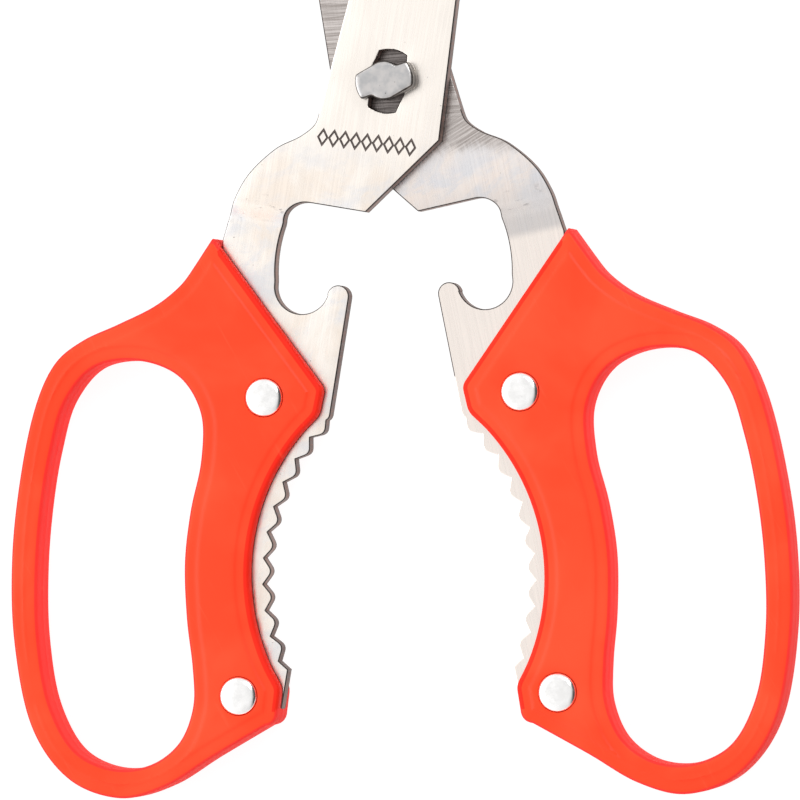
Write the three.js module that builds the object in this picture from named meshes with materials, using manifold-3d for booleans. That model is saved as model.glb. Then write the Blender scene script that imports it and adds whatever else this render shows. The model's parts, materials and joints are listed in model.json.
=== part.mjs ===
// Take-apart poultry shears: two stamped steel halves that turn on a winged stud, with moulded loop
// handles, a bottle-opener hook and a toothed jaw on each half.
// Millimetres. +X is to the right seen from the front, +Y points along the blades, +Z is the front.
// The origin is on the pivot axis, in the back face of the back blade.
// Outlines are drawn for the right-hand half as it lies when the shears are shut, with the
// centreline of the shears on the Y axis. Each half is then turned open about the pivot.
import * as THREE from 'three';
import { mergeVertices } from 'three/addons/utils/BufferGeometryUtils.js';
import Module from 'manifold-3d';

const wasm = await Module();
wasm.setup();

// ---- driving dimensions ----
const HALF_OPENING = 10.9; // degrees that each half stands open at rest
const STEEL = 2.6; // sheet thickness
const BLADE_GAP = 0.1; // between the blades, and between the front blade and the stud's head
const CENTRE_GAP = 0.5; // from each half to the centreline when the shears are shut

const BLADE_REACH = 105.6; // pivot to the end of the straight cutting edge
const BLADE_TIP_ROUND = 1.8;
const BLADE_FOOT = -8.3; // where the blade's back edge turns in towards the notch
const EDGE_DISTANCE = 9.94; // centreline to the cutting edge, level with the pivot
const EDGE_SLOPE = 0.0945; // how fast the cutting edge nears the centreline
const BEVEL_WIDTH = 3.6;
const BEVEL_START = 18; // above the pivot
const EDGE_LAND = 0.35; // steel left at the cutting edge

const NOTCH_TOP = -21.9; // flat upper side of the opener notch
const BEND_TOP = -23.5; // the sheet is set over between these two levels
const BEND_BOTTOM = -26.7;
const BEND_STEPS = 6;

const JAW_CENTRE = new THREE.Vector2(-29.6, -78);
const JAW_TIP_RADIUS = 36.2;
const JAW_ROOT_RADIUS = 37.45;
const JAW_TEETH = 10;
const JAW_FIRST_TIP = 31.7; // degrees above the level of the jaw's centre
const JAW_PITCH = 6.66; // degrees
const JAW_TIP_HALF_WIDTH = 1.3; // degrees
const JAW_END = -105.3;
const HOOK_RADIUS = 1.85;
const HOOK_Y = -36.4;
const THROAT_RADIUS = 4.65;
const NOTCH_FILLET = 4;

const RIVETS = [new THREE.Vector2(11.5, -54.9), new THREE.Vector2(7.4, -104.3)];
const RIVET_HEAD_RADIUS = 3;
const SOCKET_RADIUS = 1.95;
const SOCKET_BORE = 1.35;
const PIN_RADIUS = 1.3;
const RIVET_CLEARANCE = 0.1;
const HEAD_SEAT = 0.5; // depth of the seat under each front head
const HEAD_CLEARANCE = 0.25;
const HEAD_PROUD = 0.75;
const BACK_HEAD = 1.1; // thickness of the back heads, which lie flush
const BORE_FLOOR = 2.2; // from the handle's back face to the bottom of the socket's bore
const PIN_END = 2.6; // from the handle's back face to the end of the pin
const SOCKET_SHORT = 1.5; // from the handle's front face down to the socket's mouth

const HANDLE_THICKNESS = 8.4;
const HANDLE_BEVEL = 0.9;
const SLOT_CLEARANCE = 0.3; // in the plane of the sheet
const SLOT_PLAY = 0.1; // above and below the sheet
const TANG_END_RADIUS = 5.3;

const SHAFT_RADIUS = 3.3;
const SHAFT_CLEARANCE = 0.08;
const TENON_RADIUS = 2.6;
const TENON_CLEARANCE = 0.05;
const HEAD_RADIUS = 3.2;
const WING_RADIUS = 4.95;
const HEAD_HEIGHT = 2.6;
const HEAD_EDGE = 0.3;
const KEYHOLE_RADIUS = 5.25;
const BLADE_LEAN = 1.5; // degrees between a blade's middle line and the centreline

const CURVE_STEPS = 6;
const ROUND_STEPS = 24;
const PIVOT_STEPS = 48;

// ---- levels ----
const BACK_BLADE_Z = 0;
const FRONT_BLADE_Z = STEEL + BLADE_GAP;
const TANG_Z = FRONT_BLADE_Z / 2;
const TANG_MIDDLE = TANG_Z + STEEL / 2;
const HANDLE_BACK = TANG_MIDDLE - HANDLE_THICKNESS / 2;
const HANDLE_FRONT = TANG_MIDDLE + HANDLE_THICKNESS / 2;
const HEAD_Z = FRONT_BLADE_Z + STEEL + BLADE_GAP;

// ---- materials ----
const steel = new THREE.MeshStandardMaterial({ color: 0xd9d5cd, roughness: 0.3, metalness: 1 });
const rivetSteel = new THREE.MeshStandardMaterial({ color: 0xdcdad6, roughness: 0.35, metalness: 1 });
const studSteel = new THREE.MeshStandardMaterial({ color: 0xa9a6a3, roughness: 0.45, metalness: 1 });
const moulding = new THREE.MeshStandardMaterial({ color: 0xff4a24, roughness: 0.35, metalness: 0 });

// ---- solids ----
const radians = THREE.MathUtils.degToRad;
const point = (x, y) => new THREE.Vector2(x, y);

function solid(geometry) {
  const bare = geometry.clone();
  bare.deleteAttribute('normal');
  bare.deleteAttribute('uv');
  const merged = mergeVertices(bare, 1e-5);
  const mesh = new wasm.Mesh({
    numProp: 3,
    vertProperties: new Float32Array(merged.attributes.position.array),
    triVerts: new Uint32Array(merged.index.array),
  });
  return new wasm.Manifold(mesh);
}

function geometryOf(body) {
  const mesh = body.getMesh();
  const geometry = new THREE.BufferGeometry();
  geometry.setAttribute('position', new THREE.BufferAttribute(mesh.vertProperties, 3));
  geometry.setIndex(new THREE.BufferAttribute(mesh.triVerts, 1));
  return geometry;
}

function prism(shape, low, high, steps = CURVE_STEPS) {
  const options = { depth: high - low, bevelEnabled: false, curveSegments: steps };
  const geometry = new THREE.ExtrudeGeometry(shape, options);
  geometry.translate(0, 0, low);
  return solid(geometry);
}

function cylinder(centre, radius, low, high, steps = ROUND_STEPS) {
  const geometry = new THREE.CylinderGeometry(radius, radius, high - low, steps);
  geometry.rotateX(Math.PI / 2);
  geometry.translate(centre.x, centre.y, (low + high) / 2);
  return solid(geometry);
}

// The same piece for the left-hand half.
function mirrored(geometry) {
  const copy = geometry.clone();
  copy.scale(-1, 1, 1);
  const corners = copy.index.array;
  for (let i = 0; i < corners.length; i += 3) {
    const first = corners[i];
    corners[i] = corners[i + 1];
    corners[i + 1] = first;
  }
  return copy;
}

// ---- the steel halves ----

// The edge of the tang that lies inside the handle, with its round end about the lower rivet.
function followTang(path, clearance) {
  const back = [[22, -40], [18, -52], [16.8, -64], [16.8, -76], [15.6, -88], [13.4, -98]];
  path.splineThru(back.map(([x, y]) => point(x + clearance, y)));
  const end = RIVETS[1];
  path.absarc(end.x, end.y, TANG_END_RADIUS + clearance, 0, radians(-150), true);
}

function jawPoint(degrees, radius) {
  const angle = radians(degrees);
  const offset = point(radius * Math.cos(angle), radius * Math.sin(angle));
  return offset.add(JAW_CENTRE);
}

// Round-tipped teeth on a hollow arc, followed from the handle's end up to the hook.
function followJaw(path) {
  const tipLine = JAW_TIP_RADIUS + 0.25;
  const tipPull = JAW_TIP_RADIUS - 0.35;
  const end = jawPoint(JAW_FIRST_TIP - JAW_TEETH * JAW_PITCH, JAW_TIP_RADIUS);
  path.lineTo(CENTRE_GAP, end.y);
  for (let tooth = JAW_TEETH - 1; tooth >= 0; tooth -= 1) {
    const middle = JAW_FIRST_TIP - tooth * JAW_PITCH;
    const root = jawPoint(middle - JAW_PITCH / 2, JAW_ROOT_RADIUS);
    const before = jawPoint(middle - JAW_TIP_HALF_WIDTH, tipLine);
    const pull = jawPoint(middle, tipPull);
    const after = jawPoint(middle + JAW_TIP_HALF_WIDTH, tipLine);
    path.lineTo(root.x, root.y);
    path.lineTo(before.x, before.y);
    path.quadraticCurveTo(pull.x, pull.y, after.x, after.y);
  }
  const lastRoot = jawPoint(JAW_FIRST_TIP + 2.8, JAW_ROOT_RADIUS - 0.25);
  path.lineTo(lastRoot.x, lastRoot.y);
}

// The hook with its round throat, and the notch up to its flat upper side.
function followNotch(path) {
  const hookLeft = CENTRE_GAP + 0.25;
  const throat = point(8.95, -35.7);
  const fillet = point(9.8, NOTCH_TOP - NOTCH_FILLET);
  path.lineTo(CENTRE_GAP + 0.1, -56);
  path.lineTo(hookLeft, HOOK_Y);
  path.absarc(hookLeft + HOOK_RADIUS, HOOK_Y, HOOK_RADIUS, Math.PI, 0, true);
  path.absarc(throat.x, throat.y, THROAT_RADIUS, radians(188.7), 2 * Math.PI, false);
  path.quadraticCurveTo(14.75, -30.6, fillet.x + NOTCH_FILLET, fillet.y);
  path.absarc(fillet.x, fillet.y, NOTCH_FILLET, 0, Math.PI / 2, false);
}

const cuttingEdgeX = (y) => EDGE_DISTANCE - EDGE_SLOPE * y;

function halfOutline() {
  const shape = new THREE.Shape();
  const neckStart = -6.8;
  const neck = [[11.1, -9.1], [13.3, -11.4], [17.1, -14.1], [21, -19.2], [22.9, -25], [23.7, -30.5]];
  const tipX = cuttingEdgeX(BLADE_REACH);
  shape.moveTo(0, NOTCH_TOP);
  shape.lineTo(-10.3, BLADE_FOOT);
  shape.lineTo(-9.25, 15);
  shape.bezierCurveTo(-7.8, 47, -6.2, 86, -0.9, BLADE_REACH);
  shape.quadraticCurveTo(-0.25, BLADE_REACH + BLADE_TIP_ROUND, tipX, BLADE_REACH);
  shape.lineTo(cuttingEdgeX(neckStart), neckStart);
  shape.splineThru(neck.map(([x, y]) => point(x, y)));
  followTang(shape, 0);
  shape.lineTo(CENTRE_GAP, JAW_END);
  followJaw(shape);
  followNotch(shape);
  return shape;
}

// A sheet that runs flat at the blade's level, is set over by a smooth bend, and runs on at the
// tang's level. It is drawn from the side and spans the whole width of a half.
function setOverSheet(bladeZ) {
  const reach = 150;
  const lower = [point(reach, bladeZ)];
  for (let step = 0; step <= BEND_STEPS; step += 1) {
    const part = step / BEND_STEPS;
    const rise = part * part * (3 - 2 * part);
    const y = THREE.MathUtils.lerp(BEND_TOP, BEND_BOTTOM, part);
    lower.push(point(y, THREE.MathUtils.lerp(bladeZ, TANG_Z, rise)));
  }
  lower.push(point(-reach, TANG_Z));
  const upper = lower.map(({ x, y }) => point(x, y + STEEL)).reverse();
  const side = new THREE.Shape([...lower, ...upper]);
  const geometry = new THREE.ExtrudeGeometry(side, { depth: 2 * reach, bevelEnabled: false });
  geometry.translate(0, 0, -reach);
  const alongX = new THREE.Matrix4().makeBasis(
    new THREE.Vector3(0, 1, 0),
    new THREE.Vector3(0, 0, 1),
    new THREE.Vector3(1, 0, 0),
  );
  geometry.applyMatrix4(alongX);
  return solid(geometry);
}

// The wedge ground off a blade's outer face along its cutting edge.
function bevelWedge(bladeZ, outward) {
  const inner = outward > 0 ? bladeZ : bladeZ + STEEL;
  const slope = (STEEL - EDGE_LAND) / BEVEL_WIDTH;
  const surface = (inset) => inner + outward * (EDGE_LAND + slope * inset);
  const past = 2 * BEVEL_WIDTH;
  const section = new THREE.Shape([
    point(-past, surface(-past)),
    point(past, surface(past)),
    point(-past, surface(past)),
  ]);
  const depth = BLADE_REACH + past - BEVEL_START;
  const geometry = new THREE.ExtrudeGeometry(section, { depth, bevelEnabled: false });
  const inwards = new THREE.Vector3(-1, -EDGE_SLOPE, 0).normalize();
  const front = new THREE.Vector3(0, 0, 1);
  const along = new THREE.Vector3().crossVectors(inwards, front);
  geometry.applyMatrix4(new THREE.Matrix4().makeBasis(inwards, front, along));
  geometry.translate(cuttingEdgeX(BEVEL_START), BEVEL_START, 0);
  return solid(geometry);
}

// outward is +1 where the blade's outer face is its front face, and -1 where it is its back face.
function steelHalf(bladeZ, outward) {
  let body = prism(halfOutline(), -20, 20).intersect(setOverSheet(bladeZ));
  body = body.subtract(bevelWedge(bladeZ, outward));
  for (const rivet of RIVETS) {
    const radius = SOCKET_RADIUS + RIVET_CLEARANCE;
    body = body.subtract(cylinder(rivet, radius, -20, 20));
  }
  return geometryOf(body);
}

// ---- the stud and its keyhole ----

// A round with two opposite wings. Each wing has a corner and a foot on either side, given in
// degrees from the wing's middle line.
function winged(radius, wingRadius, axis, sides) {
  const shape = new THREE.Shape();
  for (const turn of [0, 180]) {
    const at = (degrees, r) => {
      const angle = radians(axis + turn + degrees);
      return point(r * Math.cos(angle), r * Math.sin(angle));
    };
    const foot = at(sides.clockwiseFoot, radius);
    const next = at(180 + sides.clockwiseFoot, radius);
    if (turn === 0) {
      shape.moveTo(foot.x, foot.y);
    }
    const wingFrom = radians(axis + turn + sides.clockwiseCorner);
    const wingTo = radians(axis + turn + sides.corner);
    const roundFrom = radians(axis + turn + sides.foot);
    const roundTo = radians(axis + turn + 180 + sides.clockwiseFoot);
    shape.absarc(0, 0, wingRadius, wingFrom, wingTo, false);
    shape.absarc(0, 0, radius, roundFrom, roundTo, false);
    shape.lineTo(next.x, next.y);
  }
  return shape;
}

function keyhole() {
  const sides = { clockwiseFoot: -52, clockwiseCorner: -27.5, corner: 26.5, foot: 75 };
  const shape = winged(SHAFT_RADIUS + SHAFT_CLEARANCE, KEYHOLE_RADIUS, 90 - BLADE_LEAN, sides);
  return prism(shape, -20, 20, ROUND_STEPS / 2);
}

function studHead() {
  const sides = { clockwiseFoot: -70.3, clockwiseCorner: -25, corner: 25, foot: 37 };
  const shape = winged(HEAD_RADIUS, WING_RADIUS, BLADE_LEAN, sides);
  const geometry = new THREE.ExtrudeGeometry(shape, {
    depth: HEAD_HEIGHT - 2 * HEAD_EDGE,
    curveSegments: CURVE_STEPS,
    bevelThickness: HEAD_EDGE,
    bevelSize: HEAD_EDGE,
    bevelOffset: -HEAD_EDGE,
    bevelSegments: 2,
  });
  geometry.translate(0, 0, HEAD_Z + HEAD_EDGE);
  return solid(geometry);
}

function pivotStud() {
  const axis = point(0, 0);
  const shoulder = STEEL + BLADE_GAP / 2;
  const tenon = cylinder(axis, TENON_RADIUS, BACK_BLADE_Z, shoulder + 1, PIVOT_STEPS);
  const shaft = cylinder(axis, SHAFT_RADIUS, shoulder, HEAD_Z + HEAD_EDGE * 2, PIVOT_STEPS);
  return geometryOf(tenon.add(shaft).add(studHead()));
}

// ---- the handles ----
function handleOutline() {
  const tip = point(24.9, -30.3);
  const outside = [
    [29.1, -39], [32.9, -43.1], [38.6, -47.1], [44.2, -50.8], [48.3, -55.4], [50.4, -62.8],
    [51, -74], [50.2, -88], [47.4, -102.2], [42, -115.7], [34.2, -123.2], [25, -124.8],
    [17.3, -121.4], [10.2, -115.2], [2.1, -108.4],
  ];
  const jaw = { x: -25.8, y: -78.2, radius: 35.5, from: -41.7, to: 38.1 };
  const shape = new THREE.Shape();
  shape.moveTo(tip.x, tip.y);
  shape.lineTo(27.1, -35.2);
  shape.splineThru(outside.map(([x, y]) => point(x, y)));
  shape.quadraticCurveTo(CENTRE_GAP + 0.1, -107.9, CENTRE_GAP, -106.4);
  shape.absarc(jaw.x, jaw.y, jaw.radius, radians(jaw.from), radians(jaw.to), false);
  shape.lineTo(2, -51.8);
  return shape;
}

function fingerLoop() {
  const around = [
    [33.6, -52.5], [26.5, -54.1], [22, -59.3], [20.6, -67], [20.95, -75.5], [20.5, -84],
    [18.5, -93.5], [16.1, -101.5], [15, -107.5], [16.3, -113.8], [20.5, -118.3], [26.5, -120.1],
    [33.4, -118.5], [39, -112.1], [43, -101.6], [45.3, -90], [46.3, -79], [46.3, -69.6],
    [45.2, -61.1], [41.2, -54.8],
  ];
  const curve = new THREE.CatmullRomCurve3(
    around.map(([x, y]) => new THREE.Vector3(x, y, 0)),
    true,
  );
  const points = curve.getPoints(around.length * (CURVE_STEPS - 1));
  points.pop();
  return new THREE.Path(points.map(({ x, y }) => point(x, y)));
}

function tangSlot() {
  const beyond = -8;
  const shape = new THREE.Shape();
  shape.moveTo(beyond, -24);
  shape.lineTo(22.9 + SLOT_CLEARANCE, -25);
  shape.lineTo(23.7 + SLOT_CLEARANCE, -30.5);
  followTang(shape, SLOT_CLEARANCE);
  shape.lineTo(0, JAW_END - SLOT_CLEARANCE);
  shape.lineTo(beyond, JAW_END - SLOT_CLEARANCE);
  return prism(shape, TANG_Z - SLOT_PLAY, TANG_Z + STEEL + SLOT_PLAY);
}

function handle() {
  const shape = handleOutline();
  shape.holes.push(fingerLoop());
  const geometry = new THREE.ExtrudeGeometry(shape, {
    depth: HANDLE_THICKNESS - 2 * HANDLE_BEVEL,
    curveSegments: CURVE_STEPS,
    bevelThickness: HANDLE_BEVEL,
    bevelSize: HANDLE_BEVEL,
    bevelOffset: -HANDLE_BEVEL,
    bevelSegments: 1,
  });
  geometry.translate(0, 0, HANDLE_BACK + HANDLE_BEVEL);
  let body = solid(geometry).subtract(tangSlot());
  const seat = RIVET_HEAD_RADIUS + HEAD_CLEARANCE;
  for (const rivet of RIVETS) {
    const cuts = [
      cylinder(rivet, SOCKET_RADIUS + RIVET_CLEARANCE, -20, 20),
      cylinder(rivet, seat, HANDLE_FRONT - HEAD_SEAT, 20),
      cylinder(rivet, seat, -20, HANDLE_BACK + BACK_HEAD + RIVET_CLEARANCE),
    ];
    for (const cut of cuts) {
      body = body.subtract(cut);
    }
  }
  return geometryOf(body);
}

// ---- the rivets: a pin with the front head, driven into a socket with the back head ----
function turned(profile) {
  const geometry = new THREE.LatheGeometry(profile.map(([r, z]) => point(r, z)), ROUND_STEPS);
  geometry.rotateX(Math.PI / 2);
  return geometryOf(solid(geometry));
}

function rivetPin() {
  const under = HANDLE_FRONT - HEAD_SEAT + RIVET_CLEARANCE / 2;
  const top = HANDLE_FRONT + HEAD_PROUD;
  return turned([
    [0, HANDLE_BACK + PIN_END],
    [PIN_RADIUS, HANDLE_BACK + PIN_END],
    [PIN_RADIUS, under],
    [RIVET_HEAD_RADIUS, under],
    [RIVET_HEAD_RADIUS, top - 0.4],
    [RIVET_HEAD_RADIUS - 0.25, top - 0.12],
    [RIVET_HEAD_RADIUS - 0.7, top],
    [0, top],
  ]);
}

function rivetSocket() {
  const back = HANDLE_BACK + 0.05;
  const under = HANDLE_BACK + BACK_HEAD;
  const mouth = HANDLE_FRONT - SOCKET_SHORT;
  const floor = HANDLE_BACK + BORE_FLOOR;
  return turned([
    [0, back],
    [RIVET_HEAD_RADIUS - 0.3, back],
    [RIVET_HEAD_RADIUS, back + 0.3],
    [RIVET_HEAD_RADIUS, under],
    [SOCKET_RADIUS, under],
    [SOCKET_RADIUS, mouth],
    [SOCKET_BORE, mouth],
    [SOCKET_BORE, floor],
    [0, floor],
  ]);
}

// ---- assembly ----
const shears = new THREE.Group();

function addHalf(side, turn, blade, mouldedHandle, pin, socket) {
  const half = new THREE.Group();
  half.rotation.z = radians(turn);
  const add = (name, geometry, material, place = point(0, 0)) => {
    const mesh = new THREE.Mesh(geometry, material);
    mesh.name = name;
    mesh.position.set(place.x, place.y, 0);
    half.add(mesh);
  };
  add(side === 'left' ? 'front_blade' : 'back_blade', blade, steel);
  add(`${side}_handle`, mouldedHandle, moulding);
  ['upper', 'lower'].forEach((place, index) => {
    const rivet = RIVETS[index].clone();
    rivet.x *= side === 'left' ? -1 : 1;
    add(`${side}_${place}_rivet_pin`, pin, rivetSteel, rivet);
    add(`${side}_${place}_rivet_socket`, socket, rivetSteel, rivet);
  });
  if (side === 'right') {
    add('pivot_stud', pivotStud(), studSteel);
  }
  shears.add(half);
}

const rightHandle = handle();
const pin = rivetPin();
const socket = rivetSocket();
const tenonHole = cylinder(point(0, 0), TENON_RADIUS + TENON_CLEARANCE, -20, 20, PIVOT_STEPS);
const backBlade = geometryOf(solid(steelHalf(BACK_BLADE_Z, -1)).subtract(tenonHole));
const frontBlade = geometryOf(solid(mirrored(steelHalf(FRONT_BLADE_Z, 1))).subtract(keyhole()));

addHalf('left', -HALF_OPENING, frontBlade, mirrored(rightHandle), pin, socket);
addHalf('right', HALF_OPENING, backBlade, rightHandle, pin, socket);

export default shears;
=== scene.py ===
import json
import math

import bpy
import numpy as np
from mathutils import Matrix, Vector, geometry


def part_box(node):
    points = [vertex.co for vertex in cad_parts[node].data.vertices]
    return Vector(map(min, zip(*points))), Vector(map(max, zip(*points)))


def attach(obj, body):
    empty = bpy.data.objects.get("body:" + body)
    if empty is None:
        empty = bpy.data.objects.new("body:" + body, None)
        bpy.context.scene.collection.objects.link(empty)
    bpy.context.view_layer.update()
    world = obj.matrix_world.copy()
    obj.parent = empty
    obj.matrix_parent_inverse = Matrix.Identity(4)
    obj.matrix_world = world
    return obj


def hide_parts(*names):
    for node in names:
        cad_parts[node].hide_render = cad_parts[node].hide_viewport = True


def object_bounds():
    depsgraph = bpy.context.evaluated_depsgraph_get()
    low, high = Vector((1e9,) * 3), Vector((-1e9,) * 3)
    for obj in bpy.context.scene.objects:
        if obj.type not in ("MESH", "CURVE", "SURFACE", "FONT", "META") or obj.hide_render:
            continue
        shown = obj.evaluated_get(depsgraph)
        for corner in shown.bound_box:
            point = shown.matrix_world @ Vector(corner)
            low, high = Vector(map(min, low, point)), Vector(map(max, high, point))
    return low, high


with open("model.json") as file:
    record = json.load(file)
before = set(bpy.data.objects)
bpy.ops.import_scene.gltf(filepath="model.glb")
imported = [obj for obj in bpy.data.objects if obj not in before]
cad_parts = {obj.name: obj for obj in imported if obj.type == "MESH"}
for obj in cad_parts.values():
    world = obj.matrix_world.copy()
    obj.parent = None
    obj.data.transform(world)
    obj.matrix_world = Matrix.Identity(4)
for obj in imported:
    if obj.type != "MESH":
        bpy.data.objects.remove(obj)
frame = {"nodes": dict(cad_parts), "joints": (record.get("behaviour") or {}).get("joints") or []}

# Take-apart poultry shears. The pieces' lengths are in millimetres until a mesh is made, and those
# of the materials, lights and camera are in metres. A half's own frame is the one in which it lies
# when the shears are shut: x outwards from the middle and y towards the tips. Each half is then
# turned open about the pivot, and the left-hand one is mirrored.
bpy.context.view_layer.update()
CAD_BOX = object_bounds()
MM = 0.001
RIGHT, LEFT = 1, -1
OPENING = math.radians(-frame["joints"][0]["range_deg"][0] / 2)  # of each half, at rest

STEEL = 2.6  # sheet thickness
BEND_TOP, BEND_BOTTOM = -23.5, -26.7  # the bend that sets the blade over from the tang
EDGE_DISTANCE, EDGE_SLOPE = 9.94, 0.0945  # the cutting edge: x beside the pivot, and lost per mm of y
BEVEL_WIDTH, EDGE_LAND = 3.6, 0.35  # the ground bevel, and the steel left at its thin side
BEVEL_RUN_OUT, BEVEL_FULL = 17.0, 23.0  # where the bevel begins and where it is full

CORNER = math.radians(27)  # an outline that turns by more than this has a corner
ACUTE = math.radians(95)  # and one that turns by more than this has an acute corner,
ACUTE_SHARE = 0.3  # which is filleted by this much of the usual
FILLET_POINTS = 7
STRAIGHT = 0.002  # a point nearer than this to the line between its neighbours is dropped
LONG_SIDE = 2.2  # a side this many times as long as the next one is straight
FAN_STEP = 0.25  # radians between the points round an inward corner
NEARLY = 0.97  # a point that comes nearer than this share of its gap belongs to no inset
JOINED = 1e-4  # points nearer than this are one
CHUNK = 400  # points compared with an outline at a time
TINY = 1e-12  # stands in for a length of nothing in a division


# ---- outlines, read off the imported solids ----
def heights(node):
    """A CAD node's lowest and highest level."""
    return [corner.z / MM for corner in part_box(node)]


def section(node, level):
    """The closed loops in which a level cuts a CAD node, the largest first."""
    mesh = frame["nodes"][node].data
    places = [tuple(c / MM for c in v.co) for v in mesh.vertices]
    links = {}
    for face in mesh.polygons:
        corners = [places[i] for i in face.vertices]
        cut = []
        for a, b in zip(corners, corners[1:] + corners[:1]):
            if (a[2] < level) != (b[2] < level):
                a, b = sorted((a, b))
                t = (level - a[2]) / (b[2] - a[2])
                cut.append((a[0] + t * (b[0] - a[0]), a[1] + t * (b[1] - a[1])))
        if len(cut) == 2 and cut[0] != cut[1]:
            links.setdefault(cut[0], []).append(cut[1])
            links.setdefault(cut[1], []).append(cut[0])
    loops = []
    while links:
        here = next(iter(links))
        loop = []
        while here is not None:
            loop.append(here)
            nearby = links.pop(here)
            here = next((p for p in nearby if p in links), None)
        loops.append(without_middles(np.array(loop)))
    return sorted(loops, key=lambda p: -abs(area(p)))


def without_middles(loop):
    """Drops the points that lie on a straight line between their neighbours."""
    kept = list(loop)
    i = 0
    while i < len(kept) and len(kept) > 3:
        before, here, after = kept[i - 1], kept[i], kept[(i + 1) % len(kept)]
        chord = after - before
        off = abs(chord[0] * (here - before)[1] - chord[1] * (here - before)[0])
        if off < STRAIGHT * max(np.hypot(*chord), TINY):
            kept.pop(i)
        else:
            i += 1
    return np.array(kept)


def area(loop):
    """The area in a loop, which is positive where the loop runs anticlockwise."""
    x, y = loop.T
    return 0.5 * np.sum(x * np.roll(y, -1) - y * np.roll(x, -1))


def turned(points, angle):
    c, s = math.cos(angle), math.sin(angle)
    return points @ np.array([[c, s], [-s, c]])


def to_half(points, side):
    return turned(points, -side * OPENING) * (side, 1)


def from_half(points, side):
    return turned(points * (side, 1), side * OPENING)


def unit(v):
    return v / np.maximum(np.linalg.norm(v, axis=-1, keepdims=True), TINY)


def turns(loop):
    """The direction of the side before and after each point, and the turn between them."""
    after = unit(np.roll(loop, -1, 0) - loop)
    before = np.roll(after, 1, 0)
    cross = before[:, 0] * after[:, 1] - before[:, 1] * after[:, 0]
    return before, after, np.arctan2(cross, np.sum(before * after, 1))


def smoothed(loop, step):
    """The loop run through its points as a smooth curve that keeps corners and straight sides."""
    before, after, turn = turns(loop)
    length = np.linalg.norm(np.roll(loop, -1, 0) - loop, axis=1)
    last = np.roll(length, 1)
    tangent = unit(before * length[:, None] + after * last[:, None])
    tangent[last > LONG_SIDE * length] = before[last > LONG_SIDE * length]
    tangent[length > LONG_SIDE * last] = after[length > LONG_SIDE * last]
    sharp = np.abs(turn) > CORNER
    points = []
    for i in range(len(loop)):
        j = (i + 1) % len(loop)
        chord = after[i]
        start = None if sharp[i] else tangent[i]
        end = None if sharp[j] else tangent[j]
        if start is None and end is None:
            start = end = chord
        elif start is None:
            start = 2 * np.dot(chord, end) * chord - end
        elif end is None:
            end = 2 * np.dot(chord, start) * chord - start
        pieces = max(1, math.ceil(length[i] / step))
        for k in range(pieces):
            t = k / pieces
            blend = t * t * (3 - 2 * t)
            points.append(
                loop[i] * (1 - blend)
                + loop[j] * blend
                + start * length[i] * t * (1 - t) ** 2
                - end * length[i] * t * t * (1 - t)
            )
    return np.array(points)


def filleted(loop, reach):
    """Rounds every corner over `reach` of the sides next to it, and acute ones over less."""
    before, after, turn = turns(loop)
    points = []
    for point, a, b, angle in zip(loop, before, after, turn):
        if abs(angle) < CORNER:
            points.append(point)
            continue
        size = reach * (ACUTE_SHARE if abs(angle) > ACUTE else 1)
        for t in np.linspace(0, 1, FILLET_POINTS):
            points.append(point - a * size * (1 - t) ** 2 + b * size * t * t)
    return np.array(points)


def outlines(node, level, side, step, reach=0.0):
    """Smooth loops of a node in its half's frame: the outer one anticlockwise, then the holes."""
    loops = []
    for i, loop in enumerate(section(node, level)):
        loop = to_half(loop, side)
        if (area(loop) > 0) != (i == 0):
            loop = loop[::-1]
        loops.append(smoothed(filleted(loop, reach) if reach else loop, step))
    return loops


# ---- plane geometry ----
def sides_of(loops):
    """Where the sides of all the loops start and where they end."""
    starts = np.concatenate(loops)
    ends = np.concatenate([np.roll(loop, -1, 0) for loop in loops])
    return starts, ends


def chunks(points):
    return np.array_split(points, max(1, len(points) // CHUNK))


def distance(points, loops):
    """The distance from each point to the nearest side of the loops."""
    starts, ends = sides_of(loops)
    along = ends - starts
    size = np.maximum(np.sum(along * along, 1), TINY)
    found = []
    for some in chunks(points):
        offset = some[:, None] - starts[None]
        t = np.clip(np.sum(offset * along[None], 2) / size, 0, 1)
        gap = offset - t[..., None] * along[None]
        found.append(np.sqrt(np.sum(gap * gap, 2)).min(1))
    return np.concatenate(found)


def inside(points, loops):
    """Which of the points are in the region between the loops."""
    starts, ends = sides_of(loops)
    found = []
    for some in chunks(points):
        x, y = some[:, :1], some[:, 1:]
        crosses = (starts[None, :, 1] > y) != (ends[None, :, 1] > y)
        rise = np.where(ends[:, 1] == starts[:, 1], TINY, ends[:, 1] - starts[:, 1])
        at = starts[:, 0] + (y - starts[:, 1]) * (ends[:, 0] - starts[:, 0]) / rise
        found.append(np.sum(crosses & (at > x), 1) % 2 == 1)
    return np.concatenate(found)


def inset_points(loops, gap):
    """Points at one distance inside the outline, with a fan of them round each inward corner."""
    found = []
    for loop in loops:
        before, after, turn = turns(loop)
        for point, a, b, angle in zip(loop, before, after, turn):
            first, last = np.array([-a[1], a[0]]), np.array([-b[1], b[0]])
            if angle < -CORNER:
                for part in np.linspace(0, 1, 2 + int(-angle / FAN_STEP)):
                    found.append(point + gap * unit(first * (1 - part) + last * part))
            else:
                found.append(point + gap / math.cos(angle / 2) * unit(first + last))
    found = np.array(found)
    kept = distance(found, loops) > gap * NEARLY
    return found[kept & inside(found, loops)]


def grid(x_range, y_range, step, loops, margin):
    """Staggered points over a rectangle, as far as they are inside the loops by a margin."""
    xs = np.arange(*x_range, step)
    ys = np.arange(*y_range, step)
    points = np.array([(x + step / 2 * (row % 2), y) for row, y in enumerate(ys) for x in xs])
    points = points[inside(points, loops)]
    return points[distance(points, loops) > margin]


def circle(centre, radius, count=56):
    angles = np.linspace(0, 2 * math.pi, count, endpoint=False)
    return np.array(centre) + radius * np.stack([np.cos(angles), np.sin(angles)], 1)


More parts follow.
